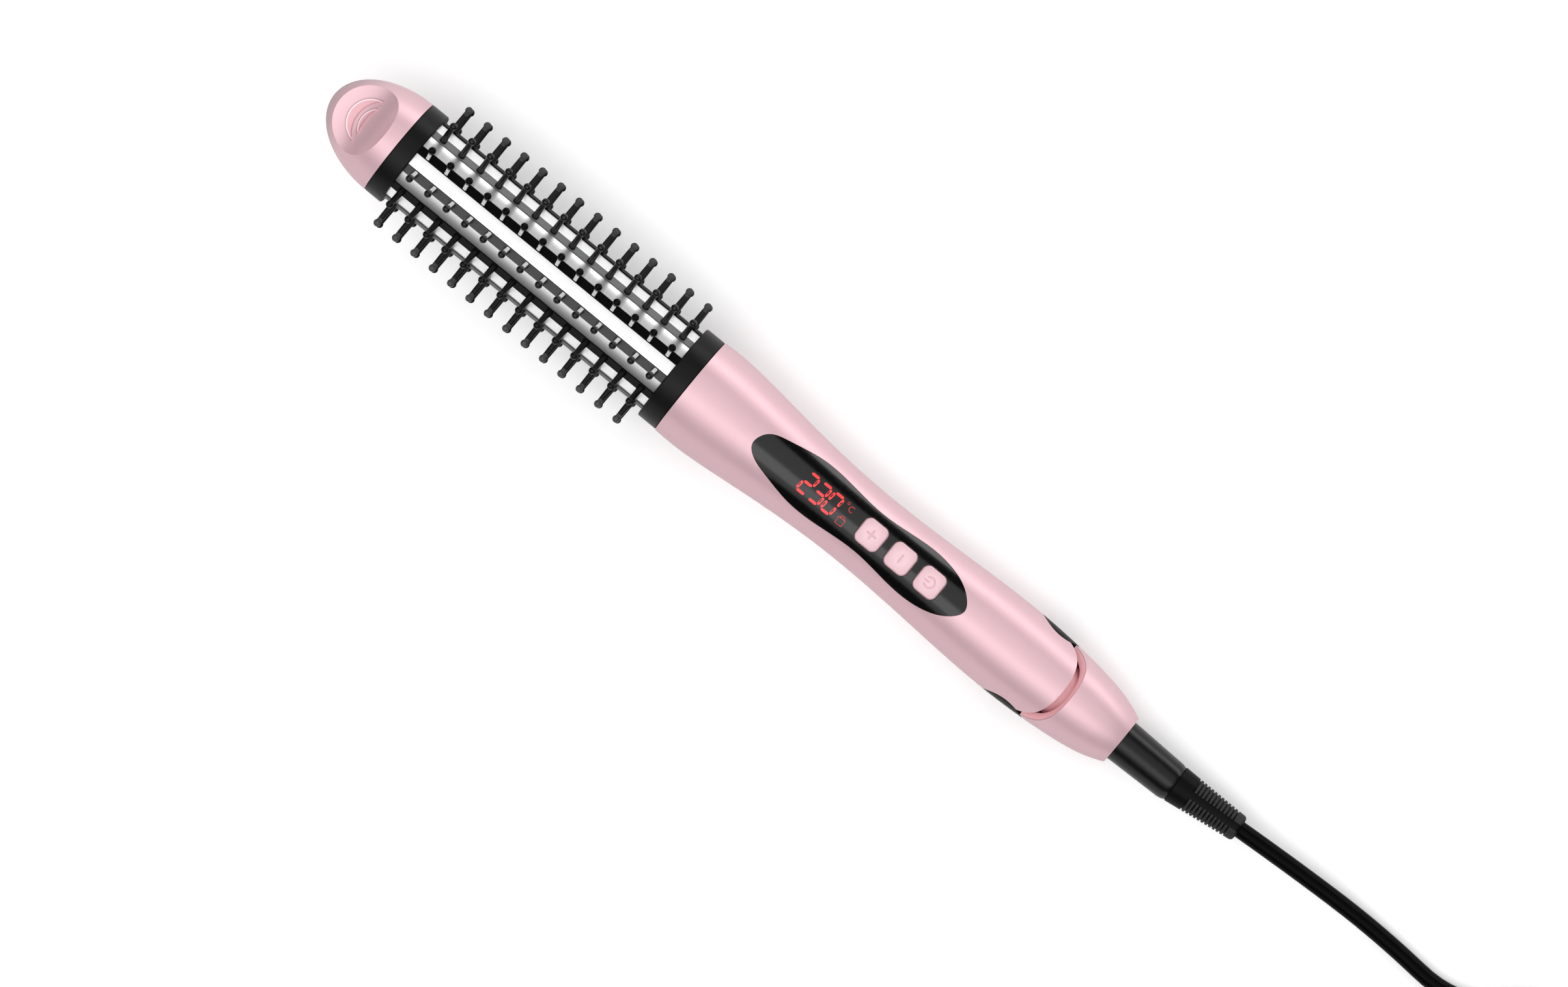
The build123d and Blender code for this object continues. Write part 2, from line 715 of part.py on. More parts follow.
parts["hinge_pin"] = rod_y(-hub_inner_y, hub_inner_y, hinge_pin_radius, pivot_x, hinge_z)
cap_disc = rod_y(hub_inner_y, reach, hub_radius, pivot_x, hinge_z) & handle_outer
other_disc = rod_y(hub_inner_y, reach, hub_radius, pivot_x, -hinge_z) & handle_outer
parts["hub_cap_left"] = cap_disc
parts["hub_cap_right"] = Rot(180, 0, 0) * other_disc


def arc_between(start, tangent, end):
    """Arc that leaves start along a tangent and reaches end, with its own end tangent."""
    edge = Edge.make_tangent_arc(Vector(start), Vector(tangent), Vector(end))
    return edge, edge % 1


def climbing_half_turn(start, tangent, end):
    """Two arcs that turn back on themselves while they rise."""
    start, end = Vector(start), Vector(end)
    direction = Vector(tangent).normalized()
    lead = (end - start).length / 2
    corner_a = start + direction * lead
    corner_b = end + direction * lead
    joint = (corner_a + corner_b) * 0.5
    first, slope = arc_between(start, direction, joint)
    second, _ = arc_between(joint, slope, end)
    return [first, second]


def tube_along(edges, diameter):
    """One unbroken round tube on a path of lines and arcs."""
    path = Wire(edges)
    section = Plane(origin=path @ 0, z_dir=path % 0) * Circle(diameter / 2)
    return sweep(section, path=path)


def least_gap(edges, diameter, step):
    """Least clearance of a wound tube to itself, measured on points of its centre line."""
    path = Wire(edges)
    count = int(path.length / step)
    points = [path @ (index / count) for index in range(count + 1)]
    apart = int(math.pi * diameter / step)
    least = reach
    for index, point in enumerate(points):
        for other in points[index + apart:]:
            least = min(least, (point - other).length)
    return least - diameter


spring_radius = hinge_pin_radius + spring_clearance + spring_wire / 2
spring_pitch = spring_wire + spring_coil_gap
spring_y0 = -spring_turns * spring_pitch / 2 - spring_pitch / 4
spring_edges = []
top_point = Vector(pivot_x, spring_y0, hinge_z + spring_radius)
spring_edges.append(Edge.make_line(top_point - Vector(spring_leg + 1, 0, 0), top_point))
position, heading = top_point, Vector(1, 0, 0)
for half_turn in range(2 * spring_turns + 1):
    side = -1 if half_turn % 2 == 0 else 1
    following_y = spring_y0 + (half_turn + 1) * spring_pitch / 2
    following = Vector(pivot_x, following_y, hinge_z + side * spring_radius)
    spring_edges += climbing_half_turn(position, heading, following)
    position, heading = following, heading * -1
spring_edges.append(Edge.make_line(position, position - Vector(spring_leg + 1, 0, 0)))
parts["hinge_spring"] = tube_along(spring_edges, spring_wire)
spring_body = spring_edges[1:-1]
print("hinge spring least gap", round(least_gap(spring_body, spring_wire, 0.25), 2))

# Coral collar behind the hinge

collar_x0 = pivot_x + 10.2
collar_x1 = sleeve_seat_x - 2.0 - 2 * fit_gap
collar_flange = handle_solid(wall + fit_gap) & slab(collar_x1 - 2.0, collar_x1, -reach, reach, -reach, reach)
collar = rod_x(collar_x0, collar_x1, collar_radius) + collar_flange
parts["gap_collar"] = collar - rod_x(collar_x0 - 1, collar_x1 + 1, collar_radius - collar_wall)

# Swivel sleeve with its dome

dome_x = tail_x + sleeve_dome_centre
sleeve_x0 = sleeve_seat_x - 2.0 - fit_gap
flange_x1 = sleeve_x0 + 2.0
bore_x1 = dome_x - 7.0
dome_mid = sleeve_neck_radius * math.sqrt(0.5)
dome_tip = (dome_x + sleeve_neck_radius, 0)
sleeve_outline = [
    Polyline(dome_tip, (bore_x1, 0), (bore_x1, sleeve_bore), (sleeve_x0, sleeve_bore),
             (sleeve_x0, sleeve_flange_radius), (flange_x1, sleeve_flange_radius),
             (flange_x1, sleeve_radius), (tail_x, sleeve_radius), (dome_x, sleeve_neck_radius)),
    ThreePointArc((dome_x, sleeve_neck_radius), (dome_x + dome_mid, dome_mid), dome_tip),
]
sleeve = revolve(make_face(sleeve_outline), Axis.X)
guard_place = Pos(dome_x, 0, 0) * Rot(0, 0, guard_bend)
sleeve = sleeve - guard_place * rod_x(-9, 9, guard_journal_radius + running_gap)
parts["swivel_sleeve"] = sleeve

# Cable guard: tapered, ribbed on its two sides, with a journal held inside the sleeve

def cable_guard():
    """One turned form about the guard's own axis, x = 0 at the centre of the dome."""
    end, rim = guard_length, 1.2
    slope = (guard_start_radius - guard_end_radius) / (end - sleeve_neck_radius)
    cup = sleeve_neck_radius + moving_gap

    def cone(x):
        return guard_start_radius - slope * (x - sleeve_neck_radius)

    cup_x = 0.0
    while math.hypot(cup_x, cone(cup_x)) < cup:
        cup_x += 0.01
    journal_x = math.sqrt(cup ** 2 - guard_journal_radius ** 2)
    cup_mid = math.atan2(guard_journal_radius, journal_x) / 2 + math.atan2(cone(cup_x), cup_x) / 2
    inside = Polyline((-22, 0), (-22, 2.4), (-8.9, 2.4), (-8.9, guard_journal_radius + 0.9),
                      (-7.4, guard_journal_radius + 0.9), (-7.4, guard_journal_radius),
                      (journal_x, guard_journal_radius))
    cup_middle = (cup * math.cos(cup_mid), cup * math.sin(cup_mid))
    seat = ThreePointArc((journal_x, guard_journal_radius), cup_middle, (cup_x, cone(cup_x)))
    outside = [(cup_x, cone(cup_x))]
    half = guard_groove_width / 2
    first_groove = end - 3.4 - (guard_groove_count - 1) * guard_groove_pitch
    for index in range(guard_groove_count):
        x = first_groove + index * guard_groove_pitch
        floor = cone(x) - guard_groove_depth
        outside += [(x - half, cone(x - half)), (x - half, floor)]
        outside += [(x + half, floor), (x + half, cone(x + half))]
    outside.append((end - rim, cone(end - rim)))
    rim_low = cone(end - rim) - rim
    rim_mid = rim * math.sqrt(0.5)
    rim_arc = ThreePointArc(outside[-1], (end - rim + rim_mid, rim_low + rim_mid), (end, rim_low))
    closing = Polyline((end, rim_low), (end, 0), (-22, 0))
    body = revolve(make_face([inside, seat, Polyline(*outside), rim_arc, closing]), Axis.X)
    band_x0, band_x1 = first_groove - 1, end - rim - 0.2
    band_outline = Polyline((band_x0, 1), (band_x0, cone(band_x0) - 0.03), (band_x1, cone(band_x1) - 0.03),
                            (band_x1, 1), close=True)
    band = revolve(make_face(band_outline), Axis.X)
    half_band = guard_flat_band / 2
    return body + (band & slab(0, end, -half_band, half_band, -reach, reach))


guard = guard_place * cable_guard()
parts["cable_guard"] = guard
ring_stations = (-14.6, -19.6)
slip_rings = []
brushes = []
for x in ring_stations:
    slip_rings.append(guard_place * (rod_x(x, x + 2.5, 3.2) - rod_x(x - 1, x + 4, 2.4 + seat_gap)))
    brushes.append(guard_place * slab(x + 0.4, x + 2.1, -0.8, 0.8, 3.2 + moving_gap, 4.6))
parts["slip_rings"] = Compound(children=slip_rings)
parts["contact_brushes"] = Compound(children=brushes)

# Lead wires inside the two arms

def lead_wire(points, radii):
    path = FilletPolyline(*points, radius=radii)
    return tube_along(path.edges(), lead_wire_diameter)


wire_end_x = heat_x1 + 2 * seat_gap
wire_end_reach = wire_way_radius - lead_wire_diameter / 2 - wire_way_gap
wire_end_y = wire_end_reach * math.sin(math.radians(wire_end_angle))
wire_end_z = wire_end_reach * math.cos(math.radians(wire_end_angle))
wire_z = power_board_z + board_thickness + lead_wire_diameter / 2 + moving_gap
lower_wires = []
for side in (-1, 1):
    heat = [(power_x0 + 1, side * 5.0, wire_z), (power_x0 - 20, side * 6.0, -6.2),
            (wire_end_x, side * wire_end_y, -wire_end_z)]
    lower_wires.append(lead_wire(heat, 20))
for index in range(2):
    feed = [(sleeve_x0 + 1, -0.8 - 1.8 * index, -2.6), (pivot_x + 9, -1.0 - 2.0 * index, -5.4),
            (pivot_x - 8, -4.1 - 1.9 * index, -7.8), (power_x1 - 1, -4.0 - 2.0 * index, wire_z)]
    lower_wires.append(lead_wire(feed, 8))
parts["lead_wires_lower"] = Compound(children=lower_wires)
upper_wires = []
for side in (-1, 1):
    heat = [(board_x0 + 3, side * 5.6, control_board_z - 1.3), (board_x0 - 12, side * 5.8, 5.0),
            (wire_end_x, side * wire_end_y, wire_end_z)]
    upper_wires.append(lead_wire(heat, 20))
parts["lead_wires_upper"] = Compound(children=upper_wires)

# Lay the tool down: the last pins and the rear bulge both touch the floor

last_pin_x = barrel_x + first_pin_inset + (pin_count - 1) * pin_pitch
pin_depth = pin_reach * math.cos(math.radians(comb_angles[0]))
outline = Spline(*handle_points(0))
tilt = math.pi / 4
for step in range(101):
    point = outline @ (0.5 + step / 200)
    run = point.X - last_pin_x
    tilt = min(tilt, math.atan2(pin_depth + pin_ball_radius - point.Y, run))
tilt_degrees = math.degrees(tilt)
laid = {name: Rot(0, tilt_degrees, 0) * shape for name, shape in parts.items()}
boxes = [shape.bounding_box() for shape in laid.values()]
shift = Vector(
    -(min(box.min.X for box in boxes) + max(box.max.X for box in boxes)) / 2,
    -(min(box.min.Y for box in boxes) + max(box.max.Y for box in boxes)) / 2,
    -min(box.min.Z for box in boxes),
)
place = Pos(*shift) * Rot(0, tilt_degrees, 0)
placed = {name: place * shape for name, shape in parts.items()}


def on_floor(x, y, z):
    """Where a point of the level tool lies once the tool is laid down."""
    return (place * Pos(x, y, z)).position


# Cord route from the guard to the hank

cord_radius = cord_diameter / 2
hank_z = cord_radius + tie_thickness + tie_gap
bend = math.radians(guard_bend)
cord_exit = on_floor(dome_x + guard_length * math.cos(bend), guard_length * math.sin(bend), 0)
lead_end = guard_length + run_lead
exit_ahead = on_floor(dome_x + lead_end * math.cos(bend), lead_end * math.sin(bend), 0)
run_points = [
    cord_exit,
    exit_ahead,
    Vector(cord_exit.X + run_dip[0], cord_exit.Y + run_dip[1], cord_radius + floor_sag),
    Vector(cord_exit.X + run_sweep[0], cord_exit.Y + run_sweep[1], hank_z),
    Vector(cord_exit.X + run_corner_x, cord_exit.Y + hank_lead_y, hank_z),
    Vector(cord_exit.X + hank_lead_x, cord_exit.Y + hank_lead_y, hank_z),
]


def tangent_radii(points):
    """Largest even arcs that the runs of a route allow."""
    radii = []
    for before, point, after in zip(points, points[1:], points[2:]):
        turn = math.radians((point - before).get_angle(after - point))
        shorter = min((point - before).length, (after - point).length)
        radii.append(0.45 * shorter / math.tan(turn / 2))
    return radii


def cord_tube(points, label):
    radii = tangent_radii(points)
    path = FilletPolyline(*points, radius=radii)
    tube = tube_along(path.edges(), cord_diameter)
    length = path.length
    print(label, "length", round(length, 1), "radii", [round(r, 1) for r in radii],
          "volume ratio", round(tube.volume / (math.pi * cord_radius ** 2 * length), 4))
    return tube, length


cord_run, run_length = cord_tube(run_points, "cord run")

# Hank: long turns inwards, a climb at the innermost fold, and long turns outwards on top

hank_radii = [hank_fold_radius + step * hank_pitch for step in range(hank_turns_per_layer + 1)]
hank_outer = hank_radii[-1]
hank_top = hank_z + hank_pitch + cord_radius
hank_place = Pos(run_points[-1].X, run_points[-1].Y - hank_outer, hank_z)


def hank_edges():
    stations = []
    for radius in hank_radii[:0:-1]:
        stations += [(radius, 0), (-radius, 0)]
    stations += [(hank_fold_radius, 0), (-hank_fold_radius, hank_pitch)]
    for radius in hank_radii[1:]:
        stations += [(radius, hank_pitch), (-radius, hank_pitch)]
    stations = stations[:-1]
    fold_x = hank_run / 2
    edges = [Edge.make_line(Vector(0, hank_outer, 0), Vector(fold_x, hank_outer, 0))]
    for (y0, z0), (y1, z1) in zip(stations, stations[1:]):
        start, end, tangent = Vector(fold_x, y0, z0), Vector(fold_x, y1, z1), Vector(fold_x, 0, 0)
        if z0 == z1:
            edges.append(arc_between(start, tangent, end)[0])
        else:
            edges += climbing_half_turn(start, tangent, end)
        fold_x = -fold_x
        edges.append(Edge.make_line(end, Vector(0 if (y1, z1) == stations[-1] else fold_x, y1, z1)))
    return edges


winding = hank_edges()
hank_length = sum(edge.length for edge in winding)
print("hank length", round(hank_length, 1), "least gap", round(least_gap(winding, cord_diameter, 1.5), 2))
cord_coil = hank_place * tube_along(winding, cord_diameter)

# Cord tail: off the top turn, round one wide fold over the hank and back to the plug that lies on it

plug_z = hank_top + tie_gap + plug_thickness / 2
fold_radius = (hank_outer + plug_off_middle) / 2
fold_side = 2 * fold_radius * math.tan(math.pi / 6)
fold_x = hank_run / 2 + tail_fold_beyond_run
fold_end_y = fold_side * math.tan(math.radians(plug_yaw)) - plug_off_middle
tail_plan = [
    (0, hank_outer),
    (fold_x + fold_side / 2, hank_outer),
    (fold_x + fold_side, (hank_outer + fold_end_y) / 2),
    (fold_x + fold_side / 2, fold_end_y),
    (fold_x - fold_side / 2, -plug_off_middle),
]
tail_z0 = hank_z + hank_pitch
tail_points = []
for (x, y), share in zip(tail_plan, tail_climb):
    z = tail_z0 + (plug_z - tail_z0) * share
    tail_points.append(Vector(hank_place.position.X + x, hank_place.position.Y + y, z))
cord_tail, tail_length = cord_tube(tail_points, "cord tail")
print("whole cord", round(run_length + hank_length + tail_length, 1))

# Tie round one side of the hank

def hank_tie():
    middle_radius = (hank_fold_radius + hank_outer) / 2
    half_across = (hank_outer - hank_fold_radius) / 2 + cord_radius + 3 * tie_gap
    z0 = -cord_radius - tie_gap
    z1 = hank_pitch + cord_radius + tie_gap
    outer = slab(-tie_width / 2, tie_width / 2, -half_across - tie_thickness, half_across + tie_thickness,
                 z0 - tie_thickness, z1 + tie_thickness)
    outer = fillet(outer.edges().filter_by(Axis.X), 2.2)
    inner = slab(-tie_width, tie_width, -half_across, half_across, z0, z1)
    inner = fillet(inner.edges().filter_by(Axis.X), 1.6)
    return hank_place * Pos(-tie_from_middle, middle_radius, 0) * (outer - inner)


# Plug

def plug_parts():
    """Flat two-pin plug along +X, its cord entering at the origin."""
    boot_end = plug_boot_length
    boot_outline = [
        Line((0, 0), (0, cord_radius + 0.9)),
        Line((0, cord_radius + 0.9), (boot_end, 5.2)),
        Line((boot_end, 5.2), (boot_end, 0)),
        Line((boot_end, 0), (0, 0)),
    ]
    boot = revolve(make_face(boot_outline), Axis.X)
    for index in range(5):
        x = 3.0 + index * 2.8
        boot = boot - (rod_x(x, x + 1.0, 8) - rod_x(x, x + 1.0, cord_radius + 0.7 + x * 0.06))
    body_end = boot_end + plug_length
    outline = Polyline(
        (boot_end - 1, plug_neck_width / 2), (boot_end + 9, plug_neck_width / 2 + 1.5),
        (boot_end + 22, plug_width / 2), (body_end, plug_width / 2 - 1.2),
        (body_end, -plug_width / 2 + 1.2), (boot_end + 22, -plug_width / 2),
        (boot_end + 9, -plug_neck_width / 2 - 1.5), (boot_end - 1, -plug_neck_width / 2), close=True)
    body = extrude(make_face(outline), amount=plug_thickness / 2, both=True)
    body = fillet(body.edges().filter_by(Axis.Z), 2.0)
    body = chamfer(body.faces().filter_by(Axis.Z).edges(), 1.4)
    body = body + boot
    pins = []
    for side in (-1, 1):
        y = side * plug_pin_spacing / 2
        body = body + rod_x(body_end - 1, body_end + plug_sleeve_length, plug_pin_radius, y)
        shank_hole = plug_shank_radius + seat_gap / 2
        body = body - rod_x(body_end - 8, body_end + plug_sleeve_length + 1, shank_hole, y)
        tip_x = body_end + plug_pin_length
        tip = rod_x(body_end + plug_sleeve_length, tip_x, plug_pin_radius, y)
        tip = chamfer(tip.faces().sort_by(Axis.X)[-1].edges(), plug_pin_chamfer)
        pins.append(tip + rod_x(body_end - 7.9, body_end + plug_sleeve_length + 1, plug_shank_radius, y))
    return body, Compound(children=pins)


plug_place = Pos(*tail_points[-1]) * Rot(0, 0, 180 + plug_yaw)
plug_body, plug_pins = plug_parts()
placed["cord_run"] = cord_run
placed["cord_coil"] = cord_coil
placed["cord_tail"] = cord_tail
placed["cord_tie"] = hank_tie()
placed["plug_body"] = plug_place * plug_body
placed["plug_pins"] = plug_place * plug_pins

os.makedirs("parts", exist_ok=True)
for name, shape in placed.items():
    export_step(shape, f"parts/{name}.step")

pin_mid = plug_boot_length + plug_length + (plug_pin_length - plug_pin_chamfer) / 2
print("tilt", round(tilt_degrees, 3), "nodes", len(placed))
print("hinge point", on_floor(pivot_x, 0, hinge_z))
print("dome centre", on_floor(dome_x, 0, 0))
print("cord exit", cord_exit)
print("run points", run_points)
print("hank centre", hank_place.position)
print("tail points", tail_points)
for side in (-1, 1):
    print("plug pin", (plug_place * Pos(pin_mid, side * plug_pin_spacing / 2, 0)).position)
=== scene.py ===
import json
import math

import bmesh
import bpy
from mathutils import Matrix, Vector


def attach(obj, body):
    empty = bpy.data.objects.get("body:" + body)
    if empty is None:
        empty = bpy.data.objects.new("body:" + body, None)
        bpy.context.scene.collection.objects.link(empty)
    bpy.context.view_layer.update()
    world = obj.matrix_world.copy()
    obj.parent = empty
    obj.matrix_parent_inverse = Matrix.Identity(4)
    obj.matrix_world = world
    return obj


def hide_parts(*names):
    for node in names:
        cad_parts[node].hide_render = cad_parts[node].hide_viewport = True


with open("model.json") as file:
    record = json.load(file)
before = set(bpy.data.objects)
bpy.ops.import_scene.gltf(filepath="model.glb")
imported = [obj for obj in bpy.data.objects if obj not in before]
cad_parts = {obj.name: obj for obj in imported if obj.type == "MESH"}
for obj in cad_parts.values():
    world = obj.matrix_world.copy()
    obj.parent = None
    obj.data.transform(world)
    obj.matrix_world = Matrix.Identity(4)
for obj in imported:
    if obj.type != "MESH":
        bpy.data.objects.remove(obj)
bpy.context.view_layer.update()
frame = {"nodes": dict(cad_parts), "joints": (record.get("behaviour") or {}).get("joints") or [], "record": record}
nodes = frame["nodes"]

# The tool's own frame: x from the tip to the tail, z out of the display side.
# It dips towards the tail, and the hinge, which both frames know, places it.
tilt = math.radians(3.625)
lean = Matrix.Rotation(tilt, 4, "Y")
hinge = next(joint for joint in frame["joints"] if joint["name"] == "arm_hinge")
hinge_on_tool = Vector((0.2774, 0, -0.0013))
laid = Matrix.Translation(Vector(hinge["pos_m"]) - lean @ hinge_on_tool) @ lean


def add_object(name, data):
    piece = bpy.data.objects.new(name, data)
    bpy.context.scene.collection.objects.link(piece)
    return piece


def add_mesh(name, mesh):
    """An object from a bmesh, which is freed."""
    data = bpy.data.meshes.new(name)
    mesh.to_mesh(data)
    mesh.free()
    return add_object(name, data)


# Camera: straight onto the display side, the tip at the upper left

focal_length, sensor_width = 269.0, 36.0
camera_distance = 3.6
camera_lean = math.radians(1.0)
camera_aim = Vector((0.1848, -0.0072, 0))
picture_right, picture_up = Vector((0.773, 0.6345, 0)), Vector((-0.6345, 0.773, 0))


def add_camera():
    data = bpy.data.cameras.new("camera")
    data.lens = focal_length
    data.sensor_width = sensor_width
    data.clip_end = 20
    camera = add_object("camera", data)
    turned = Matrix((picture_right, picture_up, picture_right.cross(picture_up))).transposed()
    turned = Matrix.Rotation(camera_lean, 3, "Y") @ turned
    place = camera_aim + turned @ Vector((0, 0, camera_distance))
    camera.matrix_world = laid @ (Matrix.Translation(place) @ turned.to_4x4())
    bpy.context.scene.camera = camera


add_camera()


# Mains cord: one smooth line from the guard through the tied hank to the plug

cord_diameter = 0.0054
run_route = [
    (0.178667, 0.001876, 0.009393),
    (0.202561, 0.003551, 0.007879),
    (0.232667, 0.004476, 0.0036),
    (0.264667, 0.002076, 0.0037),
    (0.282167, 0.020676, 0.0037),
]
tail_route = [
    (0.366510, 0.020676, 0.010929),
    (0.381853, -0.004826, 0.015657),
    (0.366510, -0.030328, 0.017824),
    (0.335824, -0.032474, 0.0194),
]
hank_middle = Vector((0.321667, -0.013474, 0.0037))
hank_reach = 0.0235    # along x from the hank's middle to the start of a fold
hank_end = 0.008       # along x from the middle to the hank's first and last points
inner_turn = 0.0166    # radius of the innermost fold
turn_step = 0.00585    # from turn to turn, and from the lower layer to the upper one
turn_count = 3
fold_steps = 6
fold_fullness = 1.035  # makes up for what the smooth line cuts off a fold


def hank_route():
    """Three long turns inwards, a climb, and three long turns outwards on top of them."""
    radii = [inner_turn + step * turn_step for step in range(turn_count + 1)]
    lower = [side * radius for radius in radii[:0:-1] for side in (1, -1)] + [radii[0]]
    upper = [-radii[0]] + [side * radius for radius in radii[1:] for side in (1, -1)][:-1]
    stations = [(y, 0.0) for y in lower] + [(y, turn_step) for y in upper]
    points, fold_x = [hank_middle + Vector((-hank_end, radii[-1], 0))], hank_reach
    for (y0, z0), (y1, z1) in zip(stations, stations[1:]):
        middle, half = (y0 + y1) / 2, (y0 - y1) / 2
        points.append(hank_middle + Vector((fold_x / 2, y0, z0)))
        for step in range(fold_steps):
            share = (step + 0.5) / fold_steps
            out = math.copysign(half * fold_fullness * math.sin(math.pi * share), fold_x)
            across = middle + half * fold_fullness * math.cos(math.pi * share)
            rise = z0 + (z1 - z0) * share
            points.append(hank_middle + Vector((fold_x + out, across, rise)))
        points.append(hank_middle + Vector((fold_x / 2, y1, z1)))
        fold_x = -fold_x
    return points + [hank_middle + Vector((hank_end, radii[-1], turn_step))]


def smooth_tube(name, points, diameter):
    """A round line whose points carry its radius."""
    curve = bpy.data.curves.new(name, "CURVE")
    curve.dimensions = "3D"
    curve.bevel_depth = 1.0
    curve.bevel_resolution = 6
    curve.resolution_u = 8
    curve.use_fill_caps = True
    spline = curve.splines.new("NURBS")
    spline.points.add(len(points) - 1)
    for point, place in zip(spline.points, points):
        point.co = (*place, 1)
        point.radius = diameter / 2
    spline.order_u = 3
    spline.use_endpoint_u = True
    return add_object(name, curve)


cord = smooth_tube("mains_cord", run_route + hank_route() + tail_route, cord_diameter)
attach(cord, "root")
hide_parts("cord_run", "cord_coil", "cord_tail")


# Shaders

class Signal:
    """A shader value that is added, scaled and compared like a number."""

    def __init__(self, shading, socket):
        self.shading, self.socket = shading, socket

    def maths(self, kind, first, second=0.0):
        return self.shading.value("ShaderNodeMath", {"operation": kind}, {0: first, 1: second})

    def __add__(self, other):
        return self.maths("ADD", self, other)

    def __sub__(self, other):
        return self.maths("SUBTRACT", self, other)

    def __mul__(self, other):
        return self.maths("MULTIPLY", self, other)

    def __rsub__(self, other):
        return self.maths("SUBTRACT", other, self)

    __radd__ = __add__
    __rmul__ = __mul__

    def __pow__(self, other):
        return self.maths("POWER", self, other)

    def __abs__(self):
        return self.maths("ABSOLUTE", self)

    def __lt__(self, other):
        return self.maths("LESS_THAN", self, other)

    def __gt__(self, other):
        return self.maths("GREATER_THAN", self, other)

    def cosine(self):
        return self.maths("COSINE", self)

    def between(self, low, high):
        """From 0 at the low value to 1 at the high one."""
        limits = {"Value": self, "From Min": low, "From Max": high}
        return self.shading.value("ShaderNodeMapRange", {"clamp": True}, limits)


def length_of(*signals):
    """The length of the vector with these coordinates."""
    first, *others = signals
    total = first * first
    for signal in others:
        total = total + signal * signal
    return total ** 0.5


class Shading:
    """A tree of shader nodes."""

    def __init__(self, tree):
        self.tree = tree

    def set(self, node, inputs):
        for key, value in inputs.items():
            if isinstance(value, Signal):
                value = value.socket
            if isinstance(value, bpy.types.NodeSocket):
                self.tree.links.new(value, node.inputs[key])
            else:
                node.inputs[key].default_value = value

    def add(self, kind, settings=None, inputs=None):
        node = self.tree.nodes.new(kind)
        for key, value in (settings or {}).items():
            setattr(node, key, value)
        self.set(node, inputs or {})
        return node

    def value(self, kind, settings, inputs, output=0):
        return Signal(self, self.add(kind, settings, inputs).outputs[output])


# The Mix node's sockets for colours
mix_amount, mix_below, mix_above, mix_result = 0, 6, 7, 2


class Finish(Shading):
    """One material: a principled shader and the signals that vary it."""

    def __init__(self, name, colour, roughness, metallic=0.0, **fixed):
        self.material = bpy.data.materials.new(name)
        self.material.use_nodes = True
        super().__init__(self.material.node_tree)
        self.shader = self.tree.nodes["Principled BSDF"]
        self.set(self.shader, {"Base Color": (*colour, 1), "Roughness": roughness,
                               "Metallic": metallic, **fixed})
        self.place = self.add("ShaderNodeTexCoord").outputs["Object"]

    def mapped(self, vector, **inputs):
        """The vector scaled, turned and shifted."""
        node = self.add("ShaderNodeMapping", {"vector_type": "POINT"}, {"Vector": vector, **inputs})
        return node.outputs[0]

    def along_tool(self, stretch=(1, 1, 1)):
        """Object coordinates turned into the tool's own frame and stretched there."""
        centred = self.mapped(self.place, Location=-laid.translation)
        turned = self.mapped(centred, Rotation=(0, -tilt, 0))
        return self.mapped(turned, Scale=stretch)

    def axes_of(self, vector):
        """The vector's three coordinates as signals."""
        parted = self.add("ShaderNodeSeparateXYZ", {}, {0: vector})
        return [Signal(self, socket) for socket in parted.outputs]

    def tool_axes(self):
        return self.axes_of(self.along_tool())

    def noise(self, scale, detail=2.0, place=None):
        return self.value("ShaderNodeTexNoise", {},
                          {"Vector": place or self.place, "Scale": scale, "Detail": detail})

    def drive(self, socket, amount):
        self.set(self.shader, {socket: amount})

    def blend(self, amount, below, above):
        mix = self.add("ShaderNodeMix", {"data_type": "RGBA"},
                       {mix_amount: amount, mix_below: below, mix_above: above})
        self.drive("Base Color", mix.outputs[mix_result])

    def shades(self, darker, lighter, amount):
        """Base colour between two tones by a signal from 0 to 1."""
        self.blend(amount, (*darker, 1), (*lighter, 1))

    def marked(self, colour, mask):
        """Lays another colour over the base colour where the mask is 1."""
        below = self.shader.inputs["Base Color"].links[0].from_socket
        self.blend(mask, below, (*colour, 1))

    def uneven(self, roughness, swing, signal):
        """Roughness that swings about its middle value by a signal from 0 to 1."""
        self.drive("Roughness", roughness + (signal - 0.5) * swing)

    def relief(self, height, depth):
        bump = self.add("ShaderNodeBump", {},
                        {"Height": height, "Distance": depth, "Strength": 1.0})
        self.drive("Normal", bump.outputs[0])


# Kinds of surface; the scales of noise are cycles per metre and the depths are metres

def toned(colour, factor):
    return tuple(min(1.0, channel * factor) for channel in colour)


def pearl_paint(name, colour, roughness=0.44, pearly=0.42):
    """Satin paint with a fine pearl and a trace of orange peel under a soft coat."""
    pearl_scale, cloud_scale, peel_scale, peel_depth = 5200, 38, 420, 0.000004
    finish = Finish(name, colour, roughness, pearly, **{"Coat Weight": 0.15, "Coat Roughness": 0.2})
    pearl = finish.noise(pearl_scale, 1.0)
    cloud = finish.noise(cloud_scale)
    finish.shades(toned(colour, 0.96), toned(colour, 1.03), pearl * 0.55 + cloud * 0.45)
    finish.uneven(roughness, 0.08, cloud)
    finish.relief(finish.noise(peel_scale, 1.0), peel_depth)
    return finish


def moulded(name, colour, roughness, grain=1400, depth=0.000003, sheen=0.5):
    """Moulded plastic or rubber with a fine spark-eroded grain."""
    patch_scale = 60
    finish = Finish(name, colour, roughness, **{"Specular IOR Level": sheen})
    fine = finish.noise(grain)
    patch = finish.noise(patch_scale)
    finish.shades(toned(colour, 0.75), toned(colour, 1.35), patch * 0.6 + fine * 0.4)
    finish.uneven(roughness, 0.12, fine)
    finish.relief(fine, depth)
    return finish


